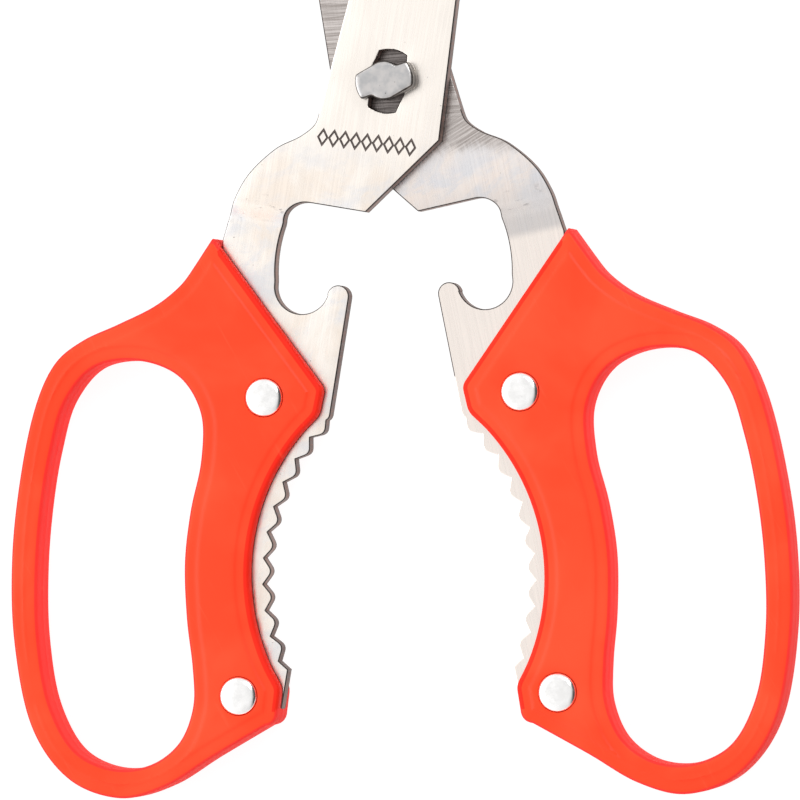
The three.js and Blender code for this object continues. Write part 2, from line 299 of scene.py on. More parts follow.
def triangulated(loops, points, lines=(), open_lines=()):
    """Triangles over the region between the loops, with the lines kept as edges."""
    every, edges = [], []
    for loop in [*loops, *lines]:
        first = len(every)
        every.extend(loop)
        edges.extend((first + i, first + (i + 1) % len(loop)) for i in range(len(loop)))
    for line in open_lines:
        first = len(every)
        every.extend(line)
        edges.extend((first + i, first + i + 1) for i in range(len(line) - 1))
    every.extend(points)
    made = geometry.delaunay_2d_cdt([Vector(p) for p in every], edges, [], 0, JOINED)
    places = np.array([(v.x, v.y) for v in made[0]])
    faces = np.array([tuple(f) for f in made[2]])
    faces = faces[inside(places[faces].mean(1), loops)]
    used = np.unique(faces)
    renumber = np.full(len(places), -1)
    renumber[used] = np.arange(len(used))
    return places[used], renumber[faces]


# ---- pieces ----
def piece(name, body, nodes, vertices, faces, materials, kinds=None, sharp=30):
    """One piece of the shears. Its vertices are in millimetres, and kinds gives each face's
    material. Edges that turn by more than `sharp` degrees stay sharp."""
    mesh = bpy.data.meshes.new(name)
    mesh.from_pydata([tuple(c * MM for c in v) for v in vertices], [], faces)
    for material in materials:
        mesh.materials.append(material)
    if kinds is not None:
        mesh.polygons.foreach_set("material_index", kinds)
    mesh.validate()
    mesh.polygons.foreach_set("use_smooth", [True] * len(mesh.polygons))
    mesh.set_sharp_from_angle(angle=math.radians(sharp))
    thing = bpy.data.objects.new(name, mesh)
    bpy.context.scene.collection.objects.link(thing)
    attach(thing, body)
    if nodes:
        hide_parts(*nodes)


def plate(places, flat, top, bottom, side, wall=(), strips=(1,)):
    """A closed body between two height maps over one triangulated region. wall lists the levels
    down its edge as shares of its thickness, each with how far it stands out, and strips the
    material of each strip between them. Returns vertices, faces and each face's material: first
    the top's faces, then the bottom's, then the edge's."""
    count = len(places)
    spread = from_half(places, side)
    every = [edge for a, b, c in flat.tolist() for edge in ((a, b), (b, c), (c, a))]
    known = set(every)
    rim = [(a, b) for a, b in every if (b, a) not in known]
    outward = np.zeros((count, 2))
    for a, b in rim:
        way = unit(places[b] - places[a])
        outward[[a, b]] += (way[1], -way[0])
    outward = unit(outward)
    vertices = [(x, y, z) for (x, y), z in zip(spread, top)]
    vertices += [(x, y, z) for (x, y), z in zip(spread, bottom)]
    faces = [tuple(f) for f in flat.tolist()]
    faces += [(c + count, b + count, a + count) for a, b, c in flat.tolist()]
    kinds = [0] * len(faces)
    levels = [{i: i for edge in rim for i in edge}]
    for share, stand in wall:
        level = {}
        for i in levels[0]:
            x, y = from_half(places[i] + outward[i] * stand, side)
            level[i] = len(vertices)
            vertices.append((x, y, top[i] + share * (bottom[i] - top[i])))
        levels.append(level)
    levels.append({i: i + count for i in levels[0]})
    for row, (upper, lower) in enumerate(zip(levels, levels[1:])):
        for a, b in rim:
            faces.append((upper[a], lower[a], lower[b], upper[b]))
            kinds.append(strips[min(row, len(strips) - 1)])
    if side == LEFT:
        faces = [f[::-1] for f in faces]
    return vertices, faces, kinds


def lathe(profile, centre, count=64):
    """A closed turned body: radii and heights from its foot on the axis up to its crown."""
    vertices = [(*centre, profile[0][1])]
    rings = profile[1:-1]
    for radius, height in rings:
        vertices += [(x, y, height) for x, y in circle(centre, radius, count)]
    vertices.append((*centre, profile[-1][1]))
    crown = len(vertices) - 1
    last = 1 + (len(rings) - 1) * count
    faces = []
    for i in range(count):
        j = (i + 1) % count
        faces.append((0, 1 + j, 1 + i))
        for ring in range(len(rings) - 1):
            low, high = 1 + ring * count, 1 + (ring + 1) * count
            faces.append((low + i, low + j, high + j, high + i))
        faces.append((last + i, last + j, crown))
    return vertices, faces


def rounded(profile, steps=6):
    """Rounds the corners of a turned profile that carry a radius as their third number."""
    points = []
    for i, row in enumerate(profile):
        here = np.array(row[:2], float)
        if len(row) == 2:
            points.append(tuple(here))
            continue
        start = here + row[2] * unit(np.array(profile[i - 1][:2], float) - here)
        end = here + row[2] * unit(np.array(profile[i + 1][:2], float) - here)
        for t in np.linspace(0, 1, steps):
            points.append(tuple(start * (1 - t) ** 2 + here * 2 * t * (1 - t) + end * t * t))
    return points


# ---- the moulded handles ----
# Distances in from the outline, and how far the face is from its full height there.
HANDLE_EDGE = [
    (0, -1.3), (0.04, -1.0), (0.12, -0.76), (0.25, -0.58), (0.4, -0.48), (0.58, -0.42),
    (0.9, -0.37), (1.5, -0.34), (2.0, -0.31), (2.2, -0.24), (2.4, -0.12), (2.6, -0.04), (3.0, 0),
]
HANDLE_FILLET = 1.0  # on the outline's corners
HANDLE_SECTION = 1.9  # below the front face, where the outline is read
HANDLE_STEP = 0.7  # along the outline
HANDLE_SPAN = (0, 52), (-126, -29)  # in x and y
HANDLE_GRID, HANDLE_MARGIN = 2.4, 4  # the points on the flat face
# Distances from a rivet's axis, and the share of its seat's depth there.
SEAT_EDGE = [(3.2, 1.0), (3.25, 0.35), (3.31, 0.08), (3.4, 0)]
SEAT_DEPTH, BACK_SEAT_DEPTH = 0.5, 1.2
SEAT_MARGIN = 3.6
# Shares of the side's height, and how far it stands out there.
PARTING_LINE = [(0.17, 0), (0.48, 0), (0.5, 0.03), (0.52, 0), (0.83, 0)]
ROUNDED_EDGE = 0.38  # how far in from the outline the face has the side's painted shade and reflection,
PAINTED_SHADE_EDGE = 0.85  # and how far it has a deeper painted shade where it stands over the steel
SEAM_HEIGHT = 1.0  # the seam's painted shadow and grime is in the side's strips nearer the steel than this
BESIDE = 0.2  # how far inside the steel's face its outline is read


def tang(side):
    """The height of a tang's front face, and the tang's outline."""
    node, face = ("back_blade", heights("back_blade")[1])
    if side == LEFT:
        node, face = ("front_blade", heights("front_blade")[0] + STEEL)
    return face, outlines(node, face - BESIDE, side, HANDLE_STEP)[:1]


def painted_shade_kinds(vertices, faces, kinds, first_of_side, loops, side):
    """A moulding's face materials, with deeper painted shade over the steel, and painted shadow and
    grime at the seam.
    """
    steel_face, steel = tang(side)
    middles = np.array([np.mean([vertices[i] for i in corners], axis=0) for corners in faces])
    flat_middles = to_half(middles[:, :2], side)
    # Faces near the outline that stand over the steel take a deeper painted shade.
    over = (distance(flat_middles, loops) < PAINTED_SHADE_EDGE) & inside(flat_middles, steel)
    on_side = np.arange(len(faces)) >= first_of_side
    # The side's strips next to the steel: a dark line of painted shadow and grime.
    seam = over & on_side & (abs(middles[:, 2] - steel_face) < SEAM_HEIGHT)
    return np.select([seam, over], [3, 2], kinds).tolist()


def handle(side, word, materials):
    """One moulding, with rounded edges, a parting line and seats for the heads of its rivets.
    Its materials are those of the face, the side with painted shade and reflection, the part over the
    steel with deeper painted shade, and the seam's dark line of painted shadow and grime."""
    node = f"{word}_handle"
    low, high = heights(node)
    loops = outlines(node, high - HANDLE_SECTION, side, HANDLE_STEP, HANDLE_FILLET)[:2]
    points = [inset_points(loops, gap) for gap, _ in HANDLE_EDGE[1:]]
    points.append(grid(*HANDLE_SPAN, HANDLE_GRID, loops, HANDLE_MARGIN))
    points = np.concatenate(points)
    rivets, seats = [], []
    for which in ("upper", "lower"):
        a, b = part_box(f"{word}_{which}_rivet_pin")
        axis = to_half(np.array([(a + b)[:2]]) / 2 / MM, side)[0]
        points = points[np.linalg.norm(points - axis, axis=1) > SEAT_MARGIN]
        seats += [circle(axis, radius) for radius, _ in SEAT_EDGE]
        rivets.append(axis)
    places, flat = triangulated(loops, points, seats)
    depth = distance(places, loops)
    edge = np.interp(depth, *zip(*HANDLE_EDGE))
    apart = np.min([np.linalg.norm(places - axis, axis=1) for axis in rivets], axis=0)
    seat = np.interp(apart, *zip(*SEAT_EDGE))
    top = high + edge - SEAT_DEPTH * seat
    bottom = low - edge + BACK_SEAT_DEPTH * seat
    vertices, faces, kinds = plate(places, flat, top, bottom, side, PARTING_LINE)
    # The rounded edge takes the side's painted shade and reflection.
    side_shade_band = depth[flat].mean(1) < ROUNDED_EDGE
    first_of_side = 2 * len(flat)
    kinds[:first_of_side] = np.tile(side_shade_band, 2).astype(int).tolist()
    kinds = painted_shade_kinds(vertices, faces, kinds, first_of_side, loops, side)
    body = "front_half" if side == LEFT else "back_half"
    name = f"{word}_moulded_handle"
    piece(name, body, [node], vertices, faces, materials, kinds, sharp=40)


# ---- the steel halves ----
# Distances in from the outline, and how far the face is from its full height there: on the side
# that faces out, and on the side towards the other blade.
OUTER_EDGE = [(0, -0.22), (0.03, -0.12), (0.08, -0.05), (0.16, -0.012), (0.26, 0)]
INNER_EDGE = [(0, -0.06), (0.03, -0.02), (0.08, 0)]
SHEARED_EDGE = [(0.08, 0), (0.86, 0)]  # levels down the edge, which is dark next to either face
STEEL_STEP, STEEL_MARGIN = 0.45, 0.35
STEEL_WIDTH, STEEL_LENGTH = (-12, 30), (-112, 108)  # the sheet's extent in x and y
STEEL_GRID, STEEL_GRID_MARGIN = 4, 1.2  # the points on the flat faces
BEND_GRID, BEND_BEYOND = 0.32, 0.4  # the points on the bend, and how far they go past it
BEVEL_SPAN = (-3, 12), (BEVEL_RUN_OUT - 1.5, BEVEL_FULL + 1)
BEVEL_GRID = 0.5  # where the bevel runs out
BEVEL_STEP, BEVEL_MARGIN = 1.5, 0.3  # along the line between the bevel and the face
BEVEL_END = 104  # just short of the blade's tip
BEVEL_BEFORE = 6  # below the run-out the sheet is whole
BURR, BURR_TOP = 0.135, -7.0  # the dark line left round the faces, except on the cutting edge
TEETH_TOP = -50  # the back blade's teeth are clean
MARK_CENTRE, MARK_PITCH, MARK_COUNT = (1.75, -10.5), 1.88, 9
MARK_TURN = math.radians(-2.6)  # from square to the blade
MARK_HALF = (0.78, 1.25)  # width and height of a lozenge's middle line, halved
MARK_STROKE, MARK_FLOOR = 0.18, 0.1  # half the stroke's width, at the face and at its floor
MARK_DEPTH = 0.16


def lozenge(column, grow):
    """One lozenge of the mark, with its sides `grow` outside those of its middle line."""
    wide, tall = MARK_HALF
    scale = 1 + grow * math.hypot(wide, tall) / (wide * tall)
    tips = np.array([(wide, 0), (0, tall), (-wide, 0), (0, -tall)]) * scale
    points = []
    for a, b in zip(tips, np.roll(tips, -1, 0)):
        points += [a * (1 - t) + b * t for t in (0, 0.25, 0.5, 0.75)]
    offset = ((column - (MARK_COUNT - 1) / 2) * MARK_PITCH, 0)
    return turned(np.array(points) + offset, MARK_TURN) + MARK_CENTRE


def set_over(y, blade, tang_level):
    """The height of the sheet's back, which steps from the blade's level to the tang's."""
    part = np.clip((BEND_TOP - y) / (BEND_TOP - BEND_BOTTOM), 0, 1)
    return blade + (tang_level - blade) * part * part * (3 - 2 * part)


def bevel_line(loops):
    """The line on which the ground bevel meets the blade's face."""
    y = np.arange(BEVEL_FULL, BEVEL_END, BEVEL_STEP)
    line = np.stack([EDGE_DISTANCE - EDGE_SLOPE * y - BEVEL_WIDTH, y], 1)
    line = line[inside(line, loops)]
    return line[distance(line, loops) > BEVEL_MARGIN]


def bevel_left(places):
    """How much of the sheet the grinding of the cutting edge has left."""
    x, y = places.T
    inset = (EDGE_DISTANCE - EDGE_SLOPE * y - x) / math.hypot(1, EDGE_SLOPE)
    early = np.clip((BEVEL_FULL - y) / (BEVEL_FULL - BEVEL_RUN_OUT), 0, 3)
    left = EDGE_LAND + (STEEL - EDGE_LAND) * (inset / BEVEL_WIDTH + early**2)
    return np.where(y > BEVEL_RUN_OUT - BEVEL_BEFORE, np.minimum(left, STEEL), STEEL)


def steel_points(loops):
    """Where the vertices of a stamped half are, apart from those on its outline and mark."""
    gaps = sorted({gap for gap, _ in OUTER_EDGE + INNER_EDGE if gap})
    points = [inset_points(loops, gap) for gap in gaps]
    bend = BEND_BOTTOM - BEND_BEYOND, BEND_TOP + BEND_BEYOND
    points.append(grid(STEEL_WIDTH, bend, BEND_GRID, loops, STEEL_MARGIN))
    points.append(grid(*BEVEL_SPAN, BEVEL_GRID, loops, STEEL_MARGIN))
    points.append(grid(STEEL_WIDTH, STEEL_LENGTH, STEEL_GRID, loops, STEEL_GRID_MARGIN))
    return np.concatenate(points)


def steel_kinds(places, flat, depth, middles, in_front):
    """The materials of a stamped half's front and back faces: 0 the sheet, 2 the burr round it and
    3 the stroke of the mark, which is on the front only."""
    centres = places[flat].mean(1)
    burred = (depth[flat].mean(1) < BURR) & ((centres[:, 1] < BURR_TOP) | (centres[:, 0] < 0))
    if not in_front:
        burred &= centres[:, 1] > TEETH_TOP
    back = np.where(burred, 2, 0)
    front = back
    if middles:
        front = np.where(distance(centres, middles) < MARK_STROKE, 3, back)
    return [*front.tolist(), *back.tolist()]


def stamped_half(name, node, side, materials):
    """One stamped half, ground on its outer face: the front blade's front, the back blade's back."""
    in_front = node == "front_blade"
    low, high = heights(node)
    blade, tang_level = (high - STEEL, low) if in_front else (low, high - STEEL)
    level = blade + (BESIDE if in_front else STEEL - BESIDE)  # by the inner face, where all is whole
    loops = outlines(node, level, side, STEEL_STEP)
    marks, middles = [], []
    for column in range(MARK_COUNT if in_front else 0):
        grown = (-MARK_STROKE, -MARK_FLOOR, MARK_FLOOR, MARK_STROKE)
        marks += [lozenge(column, grow) for grow in grown]
        middles.append(lozenge(column, 0))
    places, flat = triangulated(loops, steel_points(loops), marks, [bevel_line(loops)])
    depth = distance(places, loops)
    back = set_over(places[:, 1], blade, tang_level)
    front = back + STEEL
    ground = STEEL - bevel_left(places)
    outer, inner = (np.interp(depth, *zip(*edge)) for edge in (OUTER_EDGE, INNER_EDGE))
    if in_front:
        sunk = (MARK_STROKE - distance(places, middles)) / (MARK_STROKE - MARK_FLOOR)
        front += np.minimum(-ground, outer) - MARK_DEPTH * np.clip(sunk, 0, 1)
        back -= inner
    else:
        back += np.maximum(ground, -outer)
        front += inner
    vertices, faces, kinds = plate(places, flat, front, back, side, SHEARED_EDGE, (2, 1, 2))
    kinds[: 2 * len(flat)] = steel_kinds(places, flat, depth, middles, in_front)
    body = "front_half" if in_front else "back_half"
    piece(name, body, [node], vertices, faces, materials, kinds, sharp=24)


# ---- the stud ----
# Distances in from the head's outline, and how far the face is from its full height there.
HEAD_EDGE = [
    (0, -0.62), (0.04, -0.42), (0.12, -0.27), (0.22, -0.16), (0.36, -0.08), (0.55, -0.03), (0.9, 0),
]
HEAD_BACK_EDGE = [(0, 0.15), (0.05, 0.05), (0.15, 0)]
HEAD_THICKNESS, HEAD_FILLET = 2.6, 0.4
HEAD_STEP, HEAD_GRID, HEAD_MARGIN = 0.16, 0.35, 1.05
HEAD_SPAN = (-5, 5)  # in x and in y
PAINTED_SHADE_RIM, PAINTED_HIGHLIGHT_RIM = 0.2, 0.33  # how far in from the outline the rim has painted shade, and then a painted highlight
HAMMERED = 0.02  # unevenness of the face, which its rim is free of
HAMMERED_FROM, HAMMERED_OVER = 0.4, 0.5  # in from the outline
SHAFT_RADIUS, TENON_RADIUS, TENON_LENGTH = 3.12, 2.6, 2.6
SHAFT_IN_HEAD, TENON_CHAMFER = 0.3, 0.15


def stud(materials):
    """The stud's winged head and its shaft. The materials are those of the face, the rim with a
    painted highlight, and the side and the rim's outer band with painted shade."""
    crown = heights("pivot_stud")[1]
    seat = crown - HEAD_THICKNESS
    loops = outlines("pivot_stud", crown - HEAD_THICKNESS / 2, RIGHT, HEAD_STEP, HEAD_FILLET)[:1]
    points = [inset_points(loops, gap) for gap, _ in HEAD_EDGE[1:]]
    points.append(grid(HEAD_SPAN, HEAD_SPAN, HEAD_GRID, loops, HEAD_MARGIN))
    places, flat = triangulated(loops, np.concatenate(points))
    depth = distance(places, loops)
    x, y = places.T
    waves = HAMMERED * np.sin(x * 1.3 + 1) * np.cos(y * 1.7)
    hammered = waves * np.clip(depth - HAMMERED_FROM, 0, HAMMERED_OVER)
    top = crown + np.interp(depth, *zip(*HEAD_EDGE)) + hammered
    bottom = seat + np.interp(depth, *zip(*HEAD_BACK_EDGE))
    # The side's top strip has the rim's painted highlight, the rest the side's painted shade; the rim's
    # outer band has painted shade and the band inside it a painted highlight.
    vertices, faces, kinds = plate(places, flat, top, bottom, RIGHT, [(0.1, 0)], (1, 2))
    rim = depth[flat].mean(1)
    kinds[: len(flat)] = np.select([rim < PAINTED_SHADE_RIM, rim < PAINTED_HIGHLIGHT_RIM], [2, 1], 0).tolist()
    nodes = ["pivot_stud"]
    piece("stud_head", "back_half", nodes, vertices, faces, materials, kinds)
    inside_head = seat + SHAFT_IN_HEAD
    profile = [
        (0, 0), (TENON_RADIUS, 0, TENON_CHAMFER), (TENON_RADIUS, TENON_LENGTH),
        (SHAFT_RADIUS, TENON_LENGTH), (SHAFT_RADIUS, inside_head), (0, inside_head),
    ]
    vertices, faces = lathe(rounded(profile), (0, 0))
    piece("stud_shaft", "back_half", [], vertices, faces, materials[1:2])


# ---- the rivets ----
HEAD_RADIUS, HEAD_FOOT = 3.17, 1.2  # the front head, and its foot below the crown
# From the head's side in to its crown: how much smaller the radius is, and how far below the crown.
DOME = [(0, 0.74), (0.1, 0.5), (0.34, 0.29), (0.6, 0.13), (0.92, 0.04), (1.42, 0)]
PIN_RADIUS, PIN_END = 1.3, 0.2
BACK_RADIUS, BACK_HEAD, BACK_CHAMFER, BACK_ROUNDING = 3.0, 1.05, 0.3, 0.12
BARREL_RADIUS, BARREL_END = 1.95, 0.2


def pin_profile(low, high):
    foot = high - HEAD_FOOT
    profile = [(0, low), (PIN_RADIUS, low, PIN_END), (PIN_RADIUS, foot), (HEAD_RADIUS, foot)]
    profile += [(HEAD_RADIUS - smaller, high - below) for smaller, below in DOME]
    return [*profile, (0, high)]


def barrel_profile(low, high):
    neck = low + BACK_HEAD
    return [
        (0, low), (BACK_RADIUS - BACK_CHAMFER, low), (BACK_RADIUS, low + BACK_CHAMFER, BACK_ROUNDING),
        (BACK_RADIUS, neck), (BARREL_RADIUS, neck), (BARREL_RADIUS, high, BARREL_END), (0, high),
    ]


def rivet(word, which, steel):
    """A pin with the front head, driven into a barrel with the back head."""
    body = "front_half" if word == "left" else "back_half"
    halves = {"pin": ("head", pin_profile), "socket": ("barrel", barrel_profile)}
    for kind, (ending, profile) in halves.items():
        node = f"{word}_{which}_rivet_{kind}"
        a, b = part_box(node)
        centre = ((a.x + b.x) / 2 / MM, (a.y + b.y) / 2 / MM)
        vertices, faces = lathe(rounded(profile(a.z / MM, b.z / MM)), centre)
        name = f"{word}_{which}_rivet_{ending}"
        piece(name, body, [node], vertices, faces, [steel])


# ---- materials ----
class Paint:
    """A small helper that builds one procedural material."""

    def __init__(self, name, roughness, metallic=0.0, **sockets):
        self.material = bpy.data.materials.new(name)
        self.material.use_nodes = True
        self.tree = self.material.node_tree
        self.shader = self.tree.nodes["Principled BSDF"]
        self.shader.inputs["Roughness"].default_value = roughness
        self.shader.inputs["Metallic"].default_value = metallic
        for key, value in sockets.items():
            self.shader.inputs[key.replace("_", " ")].default_value = value
        self.place = self.node("ShaderNodeTexCoord").outputs["Object"]

    def node(self, kind, **settings):
        made = self.tree.nodes.new(kind)
        for key, value in settings.items():
            setattr(made, key, value)
        return made

    def link(self, source, target):
        self.tree.links.new(source, target)

    def mapped(self, turn=0.0, scale=(1, 1, 1)):
        """The place in axes turned about z, times a scale. 1000 makes a noise 1 mm coarse."""
        made = self.node("ShaderNodeMapping", vector_type="TEXTURE")
        made.inputs["Rotation"].default_value = (0, 0, turn)
        made.inputs["Scale"].default_value = tuple(1 / s for s in scale)
        self.link(self.place, made.inputs["Vector"])
        return made.outputs["Vector"]

    def noise(self, vector, detail=2.0, rough=0.5, distortion=0.0):
        made = self.node("ShaderNodeTexNoise")
        made.inputs["Scale"].default_value = 1
        made.inputs["Detail"].default_value = detail
        made.inputs["Roughness"].default_value = rough
        made.inputs["Distortion"].default_value = distortion
        self.link(vector, made.inputs["Vector"])
        return made.outputs["Fac"]

    def range(self, value, low, high, to_low=0.0, to_high=1.0):
        """Runs smoothly from to_low to to_high as the value goes from low to high."""
        made = self.node("ShaderNodeMapRange", interpolation_type="SMOOTHSTEP")
        self.link(value, made.inputs["Value"])
        ends = {"From Min": low, "From Max": high, "To Min": to_low, "To Max": to_high}
        for key, number in ends.items():
            made.inputs[key].default_value = number
        return made.outputs["Result"]

    def math(self, operation, a, b):
        made = self.node("ShaderNodeMath", operation=operation)
        for socket, value in zip(made.inputs, (a, b)):
            if isinstance(value, (int, float)):
                socket.default_value = value
            else:
                self.link(value, socket)
        return made.outputs["Value"]

    def mix(self, factor, a, b):
        made = self.node("ShaderNodeMix", data_type="RGBA")
        self.link(factor, made.inputs["Factor"])
        colours = [s for s in made.inputs if s.type == "RGBA"]
        for socket, value in zip(colours, (a, b)):
            if isinstance(value, tuple):
                socket.default_value = (*value, 1)
            else:
                self.link(value, socket)
        return next(s for s in made.outputs if s.type == "RGBA")

    def split(self, vector, axis):
        made = self.node("ShaderNodeSeparateXYZ")
        self.link(vector, made.inputs["Vector"])
        return made.outputs[axis]

    def from_pivot(self):
        """The distance from the pivot's axis."""
        flat = self.node("ShaderNodeVectorMath", operation="MULTIPLY")
        flat.inputs[1].default_value = (1, 1, 0)
        self.link(self.place, flat.inputs[0])
        made = self.node("ShaderNodeVectorMath", operation="LENGTH")
        self.link(flat.outputs["Vector"], made.inputs[0])
        return made.outputs["Value"]

    def bump(self, height, strength, reach):
        made = self.node("ShaderNodeBump")
        made.inputs["Strength"].default_value = strength
        made.inputs["Distance"].default_value = reach
        self.link(height, made.inputs["Height"])
        self.link(made.outputs["Normal"], self.shader.inputs["Normal"])

    def colour(self, value):
        self.link(value, self.shader.inputs["Base Color"])

    def roughness(self, value):
        self.link(value, self.shader.inputs["Roughness"])


def sheet_steel(name, turn, pale, streaked, warm, cool, streaks):
    """Polished sheet: fine streaks along the blade, cloudy tints of heat and a few pits. Returns
    the paint and its colour."""
    p = Paint(name, 0.3, 1.0)
    fine = p.noise(p.mapped(turn, (4200, 70, 900)), detail=3, rough=0.6)
    broad = p.noise(p.mapped(turn, (900, 35, 300)), detail=2)
    worn = p.math("ADD", p.range(fine, 0.35, 0.7, 0, streaks), p.range(broad, 0.42, 0.7, 0, streaks))
    face = p.mix(worn, pale, streaked)
    cloud = p.noise(p.mapped(turn, (110, 60, 110)), detail=6, rough=0.68, distortion=0.8)
    other = p.noise(p.mapped(turn + 2, (150, 80, 150)), detail=6, rough=0.7, distortion=0.5)
    below_pivot = p.range(p.split(p.mapped(turn), "Y"), -0.004, -0.022)
    face = p.mix(p.math("MULTIPLY", p.range(cloud, 0.4, 0.62), below_pivot), face, warm)
    face = p.mix(p.math("MULTIPLY", p.range(other, 0.43, 0.64, 0, 0.9), below_pivot), face, cool)
    speck = p.noise(p.mapped(0, (1500, 1500, 1500)), detail=1)
    face = p.mix(p.range(speck, 0.77, 0.82, 0, 0.6), face, (0.16, 0.14, 0.13))
    p.roughness(p.range(fine, 0.3, 0.75, 0.24, 0.36))
    p.bump(fine, 0.04, 0.00002)
    return p, face


def bend_stain(p, face, turn):
    """Dark specks along the set-over bend."""
    along = p.split(p.mapped(turn), "Y")
    near = p.math("MULTIPLY", p.range(along, -0.0265, -0.0245), p.range(along, -0.021, -0.0235))
    spots = p.noise(p.mapped(turn, (420, 900, 420)), detail=4, rough=0.7)
    stained = p.math("MULTIPLY", near, p.range(spots, 0.58, 0.68, 0, 0.7))
    return p.mix(stained, face, (0.3, 0.28, 0.28))


def front_steel():
    turn = -OPENING
    p, face = sheet_steel(
        "front_sheet_steel", turn, pale=(0.97, 0.905, 0.84), streaked=(0.925, 0.86, 0.79),
        warm=(0.91, 0.81, 0.72), cool=(0.80, 0.79, 0.80), streaks=0.18,
    )
    p.colour(bend_stain(p, face, turn))
    return p.material


def back_steel():
    """The back blade's face, cross-ground and dull where the front blade sweeps over it, and darkened
    round the pivot with painted shade, where it is the floor of the front blade's keyhole. A grey band
    of painted reflection crosses its neck below the bend, and a warmer painted reflection lies past it."""
    turn = OPENING
    p, face = sheet_steel(
        "back_sheet_steel", turn, pale=(0.85, 0.80, 0.77), streaked=(0.81, 0.765, 0.74),
        warm=(0.86, 0.755, 0.69), cool=(0.69, 0.70, 0.74), streaks=0.15,
    )
    ragged = p.noise(p.mapped(0.4, (900, 200, 300)), detail=2)
    height = p.math("ADD", p.split(p.place, "Y"), p.math("MULTIPLY", ragged, 0.004))
    along = p.split(p.mapped(turn), "Y")
    # A grey band at the bend and a warmer tone past it: painted reflection of the sheet's change of
    # slope.
    face = p.mix(p.range(along, -0.017, -0.028, 0, 0.9), face, (0.61, 0.575, 0.56))
    face = p.mix(p.range(along, -0.0288, -0.0305, 0, 0.75), face, (0.95, 0.86, 0.79))
    level = p.noise(p.mapped(0.03, (110, 5200, 900)), detail=3, rough=0.65)
    slanted = p.noise(p.mapped(math.radians(30), (110, 4200, 900)), detail=3, rough=0.65)
    lines = p.mix(p.range(height, -0.006, -0.002), slanted, level)
    ground = p.mix(p.range(lines, 0.36, 0.64), (0.37, 0.33, 0.31), (0.66, 0.61, 0.585))
    face = p.mix(p.range(height, -0.0108, -0.0078), face, ground)
    # Painted shade, dark and streaked, round the pivot where the back blade is the keyhole's floor.
    pivot_recess_shade = p.mix(p.range(lines, 0.4, 0.6), (0.11, 0.095, 0.09), (0.28, 0.25, 0.24))
    face = p.mix(p.range(p.from_pivot(), 0.0068, 0.0062), face, pivot_recess_shade)
    p.colour(bend_stain(p, face, turn))
    return p.material


def edge_steel(name, light, dark):
    """The sheared, unpolished edge of the sheet, streaked through its thickness."""
    p = Paint(name, 0.5, 1.0)
    streak = p.noise(p.mapped(0, (2600, 2600, 160)), detail=2, rough=0.6)
    layer = p.noise(p.mapped(0, (60, 60, 900)), detail=1)
    tone = p.math("ADD", p.math("MULTIPLY", streak, 0.6), p.math("MULTIPLY", layer, 0.5))
    p.colour(p.mix(p.range(tone, 0.4, 0.7), dark, light))
    p.roughness(p.range(streak, 0.3, 0.7, 0.38, 0.6))
    p.bump(streak, 0.25, 0.00003)
    return p.material


def moulded(name, one, other, rough):
    """Orange-red plastic with a faint moulded unevenness and light scuffs."""
    p = Paint(name, 0.36, 0.0, IOR=1.2)
    cloud = p.noise(p.mapped(0, (60, 60, 60)), detail=3, distortion=0.4)
    scuff = p.noise(p.mapped(0.5, (900, 60, 300)), detail=3, rough=0.6)
    grain = p.noise(p.mapped(0, (1800, 1800, 1800)), detail=2)
    base = p.mix(p.range(cloud, 0.38, 0.66), one, other)
    p.colour(p.mix(p.range(scuff, 0.6, 0.78, 0, 0.35), base, (1.0, 0.10, 0.045)))
    wear = p.math("ADD", p.math("MULTIPLY", cloud, 0.14), p.math("MULTIPLY", grain, 0.1))
    p.roughness(p.math("ADD", wear, rough))
    height = p.math("ADD", p.math("MULTIPLY", cloud, 0.6), p.math("MULTIPLY", grain, 0.12))
    p.bump(height, 0.22, 0.0001)
    return p.material


def cast_steel(name, pale, dark, rough, pits):
    """Tumbled steel with a fine mottle and a few pits."""
    p = Paint(name, rough, 1.0)
    mottle = p.noise(p.mapped(0, (700, 700, 700)), detail=4, rough=0.6)
    pit = p.noise(p.mapped(0, (1700, 1700, 1700)), detail=1)
    face = p.mix(p.range(mottle, 0.36, 0.66), dark, pale)
    p.colour(p.mix(p.range(pit, 0.74, 0.82, 0, pits), face, (0.12, 0.1, 0.1)))
    p.roughness(p.range(mottle, 0.3, 0.7, rough - 0.05, rough + 0.08))
    p.bump(mottle, 0.18, 0.00003)
    return p.material


